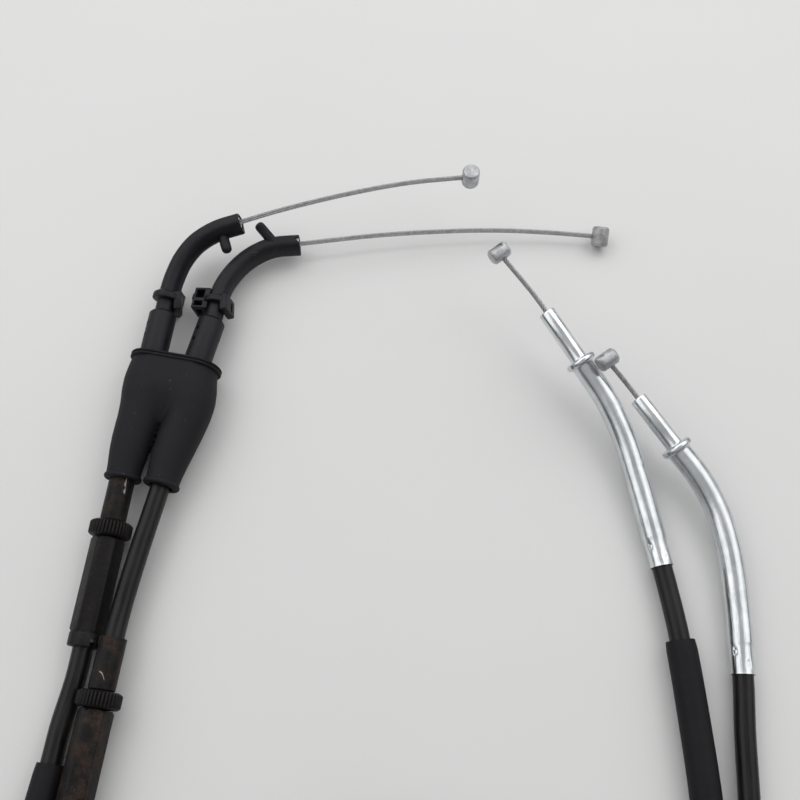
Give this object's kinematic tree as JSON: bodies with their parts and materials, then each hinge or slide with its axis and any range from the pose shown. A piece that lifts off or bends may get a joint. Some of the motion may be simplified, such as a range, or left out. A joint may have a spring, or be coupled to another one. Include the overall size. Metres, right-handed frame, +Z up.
{
  "type": "throttle cable pair",
  "caption": "Pull and return throttle cables with moulded elbows, shared rubber Y boot, screw adjusters, bent steel end tubes and barrel nipples, laid flat in a loop.",
  "frame": {"origin": "on the surface that the cables lie on, under the middle of the fittings' bounding box in X and Y, with the free conduits, their sleeves and the coil tie left out", "axes": "+Z up from the surface; +Y towards the twist grip end, where both elbows point; +X from the grip end's fittings towards the throttle body end's bent tubes"},
  "size_m": [0.1869, 0.2901, 0.0235],
  "materials": {
    "boot_rubber": "matte black moulded rubber",
    "tie_plastic": "black nylon strap",
    "sleeve_plastic": "matte black shrunk-on sleeve",
    "elbow_plastic": "black moulded nylon with a soft sheen",
    "liner_plastic": "off-white low-friction plastic",
    "conduit_jacket": "smooth black extruded jacket",
    "adjuster_steel": "black oxide steel with light scratches",
    "seat_steel": "plain turned steel",
    "tube_steel": "bright zinc plate",
    "nipple_metal": "cast and plated, slightly grainy",
    "wire_steel": "stranded steel"
  },
  "bodies": {
    "cable_outers": {"rubber_boot": "boot_rubber", "coil_tie": "tie_plastic", "pull_grip_sleeve": "sleeve_plastic", "return_carb_sleeve": "sleeve_plastic", "pull_elbow": "elbow_plastic", "pull_elbow_liner": "liner_plastic", "pull_elbow_ferrule": "elbow_plastic", "pull_upper_conduit": "conduit_jacket", "pull_adjuster_bolt": "adjuster_steel", "pull_conduit": "conduit_jacket", "pull_bent_tube": "tube_steel", "pull_tube_liner": "liner_plastic", "return_elbow": "elbow_plastic", "return_elbow_liner": "liner_plastic", "return_elbow_ferrule": "elbow_plastic", "return_upper_conduit": "conduit_jacket", "return_adjuster_bolt": "adjuster_steel", "return_conduit": "conduit_jacket", "return_bent_tube": "tube_steel", "return_tube_liner": "liner_plastic"},
    "pull_seat": {"pull_conduit_seat": "seat_steel"},
    "pull_barrel": {"pull_adjuster_barrel": "adjuster_steel"},
    "pull_nut": {"pull_lock_nut": "adjuster_steel"},
    "pull_grip_end": {"pull_grip_nipple": "nipple_metal", "pull_grip_wire": "wire_steel"},
    "pull_carb_end": {"pull_carb_nipple": "nipple_metal", "pull_carb_wire": "wire_steel"},
    "return_seat": {"return_conduit_seat": "seat_steel"},
    "return_barrel": {"return_adjuster_barrel": "adjuster_steel"},
    "return_nut": {"return_lock_nut": "adjuster_steel"},
    "return_grip_end": {"return_grip_nipple": "nipple_metal", "return_grip_wire": "wire_steel"},
    "return_carb_end": {"return_carb_nipple": "nipple_metal", "return_carb_wire": "wire_steel"}
  },
  "joints": [
    {"name": "pull_adjuster_slide", "type": "slide", "parent": "cable_outers", "child": "pull_seat", "axis": [-0.125, -0.9909, -0.05], "range_m": [0, 0.008], "deforming": ["pull_conduit"]},
    {"name": "pull_barrel_turn", "type": "hinge", "parent": "pull_seat", "child": "pull_barrel", "pos_m": [-0.0818, -0.0164, 0.006], "axis": [-0.125, -0.9909, -0.05], "range_deg": [0, 2880]},
    {"name": "pull_lock_nut_turn", "type": "hinge", "parent": "pull_seat", "child": "pull_nut", "pos_m": [-0.0818, -0.0164, 0.006], "axis": [-0.125, -0.9909, -0.05], "range_deg": [-90, 0]},
    {"name": "pull_grip_wire_slide", "type": "slide", "parent": "cable_outers", "child": "pull_grip_end", "axis": [0.9957, 0.063, 0.0676], "range_m": [-0.026, 0.01], "deforming": ["pull_grip_wire"]},
    {"name": "pull_carb_wire_slide", "type": "slide", "parent": "cable_outers", "child": "pull_carb_end", "axis": [0.64, -0.6614, -0.3911], "range_m": [-0.026, 0.01], "deforming": ["pull_carb_wire"]},
    {"name": "return_adjuster_slide", "type": "slide", "parent": "cable_outers", "child": "return_seat", "axis": [-0.125, -0.9922, 0], "range_m": [0, 0.008], "deforming": ["return_conduit"]},
    {"name": "return_barrel_turn", "type": "hinge", "parent": "return_seat", "child": "return_barrel", "pos_m": [-0.0794, -0.0608, 0.0063], "axis": [-0.125, -0.9922, 0], "range_deg": [0, 2880]},
    {"name": "return_lock_nut_turn", "type": "hinge", "parent": "return_seat", "child": "return_nut", "pos_m": [-0.0794, -0.0608, 0.0063], "axis": [-0.125, -0.9922, 0], "range_deg": [-90, 0]},
    {"name": "return_grip_wire_slide", "type": "slide", "parent": "cable_outers", "child": "return_grip_end", "axis": [0.9952, -0.0978, 0.0023], "range_m": [-0.019, 0.017], "deforming": ["return_grip_wire"]},
    {"name": "return_carb_wire_slide", "type": "slide", "parent": "cable_outers", "child": "return_carb_end", "axis": [0.6094, -0.7595, -0.2274], "range_m": [-0.019, 0.017], "deforming": ["return_carb_wire"]}
  ],
  "couplings": [
    {"joint": "pull_barrel_turn", "follows": "pull_adjuster_slide", "rad_per_m": 6283.2},
    {"joint": "pull_carb_wire_slide", "follows": "pull_grip_wire_slide", "ratio": 1},
    {"joint": "return_barrel_turn", "follows": "return_adjuster_slide", "rad_per_m": 6283.2},
    {"joint": "return_carb_wire_slide", "follows": "return_grip_wire_slide", "ratio": 1}
  ]
}
